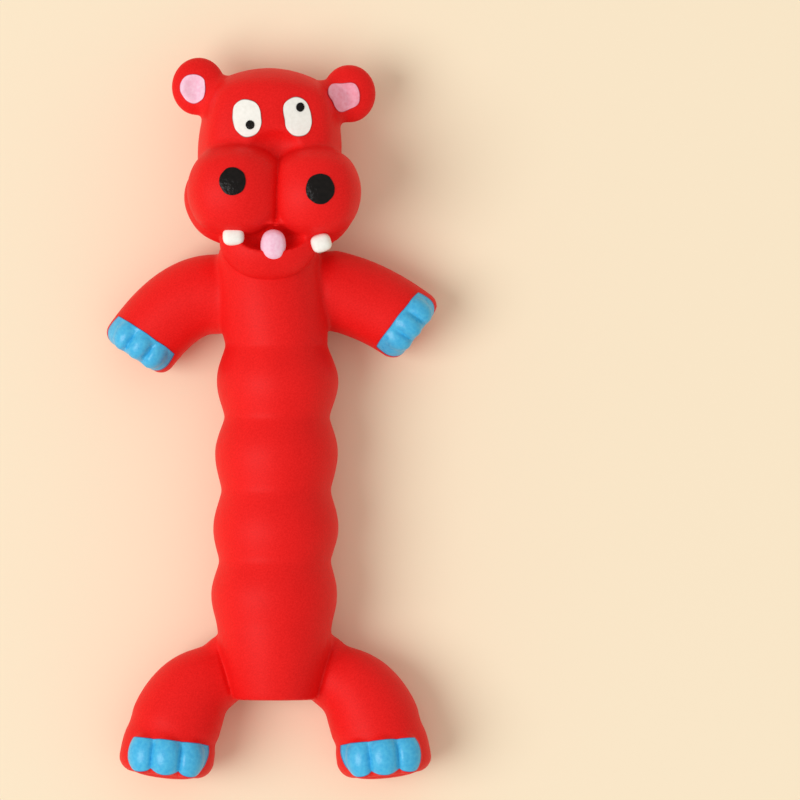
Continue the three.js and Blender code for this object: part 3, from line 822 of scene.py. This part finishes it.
def painted_on(patch, target, along_view, lift=0.0):
    """Lays a patch on a skin, along its own Z or square to itself, as deep as a coat."""
    modify(
        patch,
        "SHRINKWRAP",
        target=target,
        wrap_method="PROJECT",
        use_project_z=along_view,
        use_negative_direction=True,
        use_positive_direction=False,
        offset=(lift - paint_key) * mm,
    )
    take(patch)
    bpy.ops.object.transform_apply(location=True, rotation=True, scale=True)
    modify(patch, "SOLIDIFY", thickness=(paint_depth + paint_key) * mm, offset=1)
    shaded(patch)


def brushed_patch(name, target, middle, outline, lift=0.0):
    """A patch of paint on the front: a grid drawn to a smooth outline through a few points."""
    patch, right, up = drawn_grid(name)
    outline = np.array(outline)
    orders = np.arange(1, 4 if len(outline) < 10 else 5)

    def waves(angles):
        turns = np.outer(angles, orders)
        return np.hstack([np.ones((len(angles), 1)), np.cos(turns), np.sin(turns)])

    angles = np.arctan2(outline[:, 1], outline[:, 0])
    shape = np.linalg.lstsq(waves(angles), np.hypot(outline[:, 0], outline[:, 1]), rcond=None)[0]
    around = np.arctan2(up, right)
    brush = 1
    for (depth, waves_round), phase in zip(brush_wobbles, middle):
        brush = brush + depth * np.sin(waves_round * around + phase)
    reach = brush * (waves(around) @ shape) * mm
    drawn = np.column_stack([right * reach, up * reach, np.zeros(len(right))])
    patch.data.vertices.foreach_set("co", drawn.ravel())
    patch.location = (Vector(middle) + Vector((0, 0, patch_hover))) * mm
    painted_on(patch, target, True, lift)
    return patch


def oval(half_width, half_height):
    """A plain oval as an outline."""
    turns = [math.tau * step / 12 for step in range(12)]
    return [(half_width * math.cos(turn), half_height * math.sin(turn)) for turn in turns]


# Each paint's edge colour below is darker than the paint: partly red showing through thin paint, partly
# painted shade along the coat's edge.
white_paint = rubber(
    "white_paint",
    linear(252, 251, 247),
    linear(244, 243, 238),
    roughness=0.5,
    speck=900,
    relief=0.2,
    stroke=300,
    edge=linear(104, 36, 32),
)
black_paint = rubber(
    "black_paint",
    linear(20, 15, 14),
    linear(7, 5, 5),
    roughness=0.22,
    speck=800,
    relief=1.0,
    shine=0.2,
    stroke=300,
)
left_eye = [
    (-4.9, 1.1), (-3.7, 4.7), (-0.3, 6.3), (3.5, 4.2),
    (4.8, -0.1), (4.0, -4.0), (0.2, -6.4), (-3.7, -4.0),
]
right_eye = [
    (-4.7, 0.7), (-3.5, 5.3), (-0.6, 6.7), (3.2, 4.3),
    (4.7, -0.5), (3.7, -4.8), (0.8, -6.6), (-3.5, -3.9),
]
eyes = [
    ("left", (-9.1, 111.3, 30), left_eye, (-8.1, 109.0, 30), oval(1.45, 1.5)),
    ("right", (7.6, 111.7, 30), right_eye, (8.5, 114.9, 30), oval(1.35, 1.5)),
]
for side, middle, outline, pupil_middle, pupil_outline in eyes:
    white = brushed_patch(f"{side}_eye_paint", head, middle, outline)
    coat(white, white_paint)
    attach(white, "head")
    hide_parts(f"{side}_eye_white")
    pupil = brushed_patch(f"{side}_pupil_paint", head, pupil_middle, pupil_outline, pupil_lift)
    coat(pupil, black_paint)
    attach(pupil, "head")
    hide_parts(f"{side}_pupil")

# Nostrils: a disc of the same black latex paint on the front of each cheek, brushed on over the
# red skin and a little glossier than it.
nostrils = [
    ("left", (-13.8, 90.1, 40), oval(4.35, 4.6)),
    ("right", (15.2, 87.6, 40), oval(4.7, 5.0)),
]
for side, middle, outline in nostrils:
    disc = brushed_patch(f"{side}_nostril_paint", head, middle, outline)
    coat(disc, black_paint)
    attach(disc, "head")
    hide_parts(f"{side}_nostril")

# Teeth: two rounded studs of latex that stick out from under the cheeks at the corners of the
# mouth, each set in the skin at a lean of its own and painted white.
teeth = [
    ("left", (-13.6, 72.0, 41.2), (3.4, 2.9, 3.2), 0.05),
    ("right", (15.5, 69.8, 41), (3.2, 2.9, 3.2), 0.3),
]
for side, middle, half, lean in teeth:
    nothing_selected()
    bpy.ops.mesh.primitive_cube_add(size=2)
    tooth = bpy.context.object
    tooth.name = f"{side}_tooth_stud"
    modify(tooth, "BEVEL", width=0.6, segments=4)
    modify(tooth, "SUBSURF", levels=2, render_levels=2)
    modify(tooth, "CAST", cast_type="SPHERE", factor=0.3)
    turn = Matrix.Rotation(lean, 3, "Z")
    tooth.matrix_world = Matrix.LocRotScale(
        Vector(middle) * mm, turn.to_quaternion(), Vector(half) * mm
    )
    take(tooth)
    bpy.ops.object.transform_apply(location=True, rotation=True, scale=True)
    bpy.ops.object.shade_smooth()
    coat(tooth, white_paint)
    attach(tooth, "head")
    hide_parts(f"{side}_tooth")

# Tongue: a low oval bump of latex that comes out of the mouth over the lower lip, set in the skin
# and painted pink.
pink_paint = rubber(
    "pink_paint",
    linear(249, 210, 231),
    linear(244, 190, 216),
    roughness=0.5,
    speck=900,
    relief=0.2,
    stroke=300,
    edge=linear(166, 50, 82),
)
tongue_lie = head_roll @ Matrix.Rotation(math.radians(8), 3, "X")
tongue = swollen("tongue_bump", (-0.4, 69.1, 42.5), (4.2, 5.2, 3.3), tongue_lie, 0.16)
take(tongue)
bpy.ops.object.shade_smooth()
coat(tongue, pink_paint)
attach(tongue, "head")
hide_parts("tongue")

# Ear linings: pink paint in the dish of each ear, an oval on one and a blunter patch, cut short
# towards the head and thinner, so that the red shows through, on the other.
left_lining = [
    (-4.05, 0), (-3.3, 3.4), (0.1, 4.7), (3.5, 3.6),
    (4.15, 0.5), (3.5, -3.4), (0.1, -4.7), (-3.1, -2.9),
]
right_lining = [
    (-5.8, 1.3), (-5.1, 2.9), (-3.6, 4.1), (-1.2, 4.6), (1.4, 4.8), (3.7, 4.0), (5.3, 1.6),
    (4.8, -1.6), (3.6, -3.5), (0.8, -4.4), (-2.4, -4.6), (-3.4, -2.9), (-4.3, -0.9),
]
thin_pink_paint = rubber(
    "thin_pink_paint",
    linear(246, 176, 196),
    linear(238, 150, 170),
    roughness=0.5,
    speck=900,
    relief=0.2,
    stroke=300,
    edge=linear(172, 44, 66),
)
linings = [
    ("left", (-27.3, 121.3, 22), left_lining, pink_paint),
    ("right", (23.0, 118.6, 22), right_lining, thin_pink_paint),
]
for side, middle, outline, finish in linings:
    lining = brushed_patch(f"{side}_ear_paint", ear_walls[side], middle, outline)
    coat(lining, finish)
    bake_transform(lining, "head", f"{side}_ear", **ear_flex[side])
    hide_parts(f"{side}_ear_lining")

# Toe paint: a coat of blue latex paint wrapped over the three toes of each paw and foot, its edge
# cut in straight across the limb.
sleeve_room = 4.0
toe_grid_steps = 80
toe_coat_bluntness = 0.28
toe_coat_wobble = 0.012
toe_coat_waves = 9


def toe_coat(name, wall, path, radius, rounding, spreads, tapers, front_edge, over, phase):
    """A coat over the toes: a grid bent round the limb's end, outside it, then drawn in to it."""
    patch, right, up = drawn_grid(name, toe_grid_steps)
    square = points_of(patch)[:, :2] * mm
    right = (1 - toe_coat_bluntness) * square[:, 0] + toe_coat_bluntness * right
    up = (1 - toe_coat_bluntness) * square[:, 1] + toe_coat_bluntness * up
    wobble = 1 + toe_coat_wobble * np.sin(toe_coat_waves * right + phase)
    tip, across, front, out = (np.array(way) for way in limb_end(path))
    taper, spread = (np.where(right > 0, pair[1], pair[0]) for pair in (tapers, spreads))
    angle = (spread * (1 - 0.5 * taper * (up + 1)) * right)[:, None]
    outward = np.cos(angle) * front + np.sin(angle) * across
    straight = front_edge - rounding
    length = (0.5 * (up * wobble + 1) * (straight + over * rounding))[:, None]
    turn = np.clip((length - straight) / rounding, 0, None)
    along = np.minimum(length, straight) - front_edge
    spine = tip + along * out + (radius - rounding) * outward
    drawn = spine + (rounding + sleeve_room) * (np.cos(turn) * outward + np.sin(turn) * out)
    patch.data.vertices.foreach_set("co", (drawn * mm).ravel())
    patch.data.update()
    painted_on(patch, wall, False)
    return patch


blue_paint = rubber(
    "blue_paint",
    linear(78, 192, 239),
    linear(56, 174, 230),
    roughness=0.3,
    speck=900,
    relief=0.3,
    shine=0.45,
    stroke=320,
    edge=linear(22, 72, 142),
)
paw_end = (paw_radius, arm_rounding)
foot_end = (foot_radius, foot_rounding)
toe_coats = [
    ("left_paw", "left_arm", left_arm_path, *paw_end, (1.05, 1.22), (0, 0), 9.0, 1.45, 0.3),
    ("right_paw", "right_arm", right_arm_path, *paw_end, (1.06, 1.22), (0, 0), 8.9, 1.45, 1.9),
    ("left_foot", "left_leg", left_leg_path, *foot_end, (1.19, 0.93), (0.27, 0), 12.0, 0.8, 0.9),
    ("right_foot", "right_leg", right_leg_path, *foot_end, (0.8, 1.25), (0, 0.3), 12.0, 0.8, 2.4),
]
for name, limb, *make in toe_coats:
    coat_piece = toe_coat(f"{name}_toe_paint", walls[limb], *make)
    coat(coat_piece, blue_paint)
    side, kind = limb.split("_")
    if kind == "leg":
        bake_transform(coat_piece, "lower_body", limb, **leg_flex[side])
    else:
        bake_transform(coat_piece, "chest", limb, **arm_flex[side])
    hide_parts(f"{name}_toes")

# Squeaker: a soft blow-moulded bulb under the belly wall. Its neck holds a hard nozzle tube with a
# collar, and a wedge in the tube clamps the thin reed that sounds.
bulb_middle = (0, 14, 28.95)
bulb_wall_depth = 0.9
bulb_half = (10.8, 6.7, 10.8)
bulb_mouth = 22.4
bulb_neck_length = 1.2
bulb_turn = Matrix.Rotation(math.radians(-90), 3, "X")
bulb = swollen("bulb_wall", bulb_middle, bulb_half, bulb_turn)
take(bulb)
bpy.ops.object.mode_set(mode="EDIT")
bpy.ops.mesh.select_mode(type="FACE")
bpy.ops.mesh.select_all(action="SELECT")
bpy.ops.mesh.bisect(plane_co=(0, bulb_mouth * mm, 0), plane_no=(0, 1, 0), clear_outer=True)
bpy.ops.mesh.extrude_region_move(TRANSFORM_OT_translate={"value": (0, bulb_neck_length * mm, 0)})
bpy.ops.object.mode_set(mode="OBJECT")
modify(bulb, "SOLIDIFY", thickness=bulb_wall_depth * mm, offset=-1)
shaded(bulb, sharp=50)
bulb_vinyl = rubber(
    "bulb_vinyl",
    linear(235, 231, 219),
    linear(224, 219, 204),
    roughness=0.38,
    speck=500,
    relief=0.1,
)
coat(bulb, bulb_vinyl)
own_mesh(bulb)
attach(bulb, "chest")
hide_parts("squeaker_bulb")
nozzle_plastic = rubber(
    "nozzle_plastic",
    linear(226, 228, 230),
    linear(212, 215, 218),
    roughness=0.34,
    speck=700,
    relief=0.06,
)
reed_film = rubber(
    "reed_film",
    linear(206, 210, 214),
    linear(190, 195, 200),
    roughness=0.28,
    speck=1200,
    relief=0.05,
)
for node, finish in (
    ("squeaker_nozzle", nozzle_plastic),
    ("reed_wedge", nozzle_plastic),
    ("squeaker_reed", reed_film),
):
    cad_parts[node].data.materials.clear()
    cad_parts[node].data.materials.append(finish)

# Stuffing: polyester fibre that fills the skin, packed by hand through the hole at its end, so it
# takes the skin's own form a little smaller and lumpy, with a hollow for the squeaker.
stuffing_room = 2.6
fibre_grain = 1.5
fibre_passes = 6
lump_depth = 0.9
bulb_room_half = (11.4, 11.4, 7.3)
nozzle_room_radius = 6.2
nozzle_room_ends = (20, 38)
nozzle_room_sides = 48
neck_stuffing_room = 2.2
fibre_lumps = bpy.data.textures.new("fibre_lumps", "CLOUDS")
fibre_lumps.noise_scale = 5 * mm
fibre_lumps.noise_depth = 3
fibre = rubber(
    "fibre_stuffing",
    linear(246, 245, 241),
    linear(226, 224, 218),
    roughness=0.9,
    speck=420,
    relief=1.0,
)


def stuffed(form):
    """Draws a skin's form in, makes it lumpy and closed, and leaves it clear of the wall."""
    modify(form, "DISPLACE", strength=-stuffing_room * mm, mid_level=0)
    modify(form, "REMESH", mode="VOXEL", voxel_size=fibre_grain * mm)
    smoothed(form, fibre_passes)
    modify(
        form,
        "DISPLACE",
        strength=-lump_depth * mm,
        mid_level=0,
        texture=fibre_lumps,
        texture_coords="LOCAL",
    )


def closed_cuts(piece):
    """Closes the open edges that parting has left on a stuffing piece."""
    take(piece)
    bpy.ops.object.mode_set(mode="EDIT")
    bpy.ops.mesh.select_all(action="SELECT")
    bpy.ops.mesh.fill_holes(sides=0)
    bpy.ops.mesh.select_all(action="SELECT")
    bpy.ops.mesh.normals_make_consistent(inside=False)
    bpy.ops.object.mode_set(mode="OBJECT")
    shaded(piece)


stuffed(body_form)
fillings = parted_body(body_form, "filling")
body_form.name = "chest_filling"
for filling in fillings.values():
    closed_cuts(filling)
bulb_room = swollen("bulb_room", bulb_middle, bulb_room_half)
nozzle_room = swept_form(
    "nozzle_room",
    [((0, end, bulb_middle[2]), 0, nozzle_room_radius) for end in nozzle_room_ends],
    nozzle_room_sides,
)
for room in (bulb_room, nozzle_room):
    cut_away(room, fillings["chest"])
dent_with_belly(fillings["chest"])
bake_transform(fillings["lower"], "chest", "lower_body", **waist_flex)
for side in signs:
    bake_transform(fillings[f"{side}_arm"], "chest", f"{side}_arm", **arm_flex[side])
    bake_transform(fillings[f"{side}_leg"], "lower_body", f"{side}_leg", **leg_flex[side])
stuffed(head_form)
neck_room = swollen("neck_room", neck_dome_middle, (neck_radius + neck_stuffing_room,) * 3)
cut_away(neck_room, head_form)
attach(head_form, "head")
head_form.name = "head_filling"
fillings["head"] = head_form
stuffing_nodes = {"lower": "hip_stuffing"}
for place, filling in fillings.items():
    coat(filling, fibre)
    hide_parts(stuffing_nodes.get(place, f"{place}_stuffing"))

# Fill plug: a turned latex stopper with a flange inside the wall and an air hole through it, pushed
# into the hole at the flat end between the legs, by which the skin is stuffed.
plug_profile = [
    (0, 3.0), (0.12, 3.35), (0.4, 3.5), (2.1, 3.5),
    (2.1, 4.45), (2.4, 4.8), (3.3, 4.8), (3.6, 4.5),
]
air_hole_radius = 1.2
air_hole_sides = 32
plug = swept_form(
    "plug_stopper",
    [((0, trunk_end + up, trunk_axis), 0, radius) for up, radius in plug_profile],
    fill_hole_sides,
)
air_hole = swept_form(
    "air_hole",
    [((0, trunk_end + up, trunk_axis), 0, air_hole_radius) for up in hole_reach],
    air_hole_sides,
)
cut_away(air_hole, plug)
shaded(plug, sharp=40)
coat(plug, red_latex)
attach(plug, "lower_body")
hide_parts("fill_plug")

# Floor, light and camera: a plain pale surface, one broad soft lamp high on the left, a pale sky
# all round and a camera that looks straight down.
floor_gap = 0.05
nothing_selected()
bpy.ops.mesh.primitive_plane_add(size=6, location=(0, 0, -floor_gap * mm))
floor = bpy.context.object
floor.name = "floor"
floor_paper = bpy.data.materials.new("floor_paper")
floor_paper.use_nodes = True
paper = floor_paper.node_tree.nodes["Principled BSDF"]
paper.inputs["Base Color"].default_value = linear(252, 236, 209)
paper.inputs["Roughness"].default_value = 0.9
paper.inputs["Specular IOR Level"].default_value = 0.1
floor.data.materials.append(floor_paper)

lamp_place = (-3.3, -0.9, 4.35)
lamp_aim = Vector((0.03, 0.0, 0.0))
bpy.ops.object.light_add(type="AREA", location=lamp_place)
lamp = bpy.context.object
lamp.data.shape = "DISK"
lamp.data.size = 3.75
lamp.data.energy = 169
lamp.rotation_euler = (lamp_aim - lamp.location).to_track_quat("-Z", "Y").to_euler()

sky = bpy.data.worlds.new("studio")
sky.use_nodes = True
sky.node_tree.nodes["Background"].inputs["Color"].default_value = (1.0, 0.96, 0.88, 1)
sky.node_tree.nodes["Background"].inputs["Strength"].default_value = 0.6
bpy.context.scene.world = sky
bpy.context.scene.view_settings.view_transform = "Standard"

view_middle = (41.67, 17.67)
view_width = 266.67
camera_height = 5.0
sensor_width = 36
bpy.ops.object.camera_add(
    location=(view_middle[0] * mm, view_middle[1] * mm, camera_height), rotation=(0, 0, 0)
)
camera = bpy.context.object
camera.data.sensor_width = sensor_width
camera.data.lens = sensor_width * (camera_height - trunk_axis * mm) / (view_width * mm)
camera.data.clip_end = 10
bpy.context.scene.camera = camera
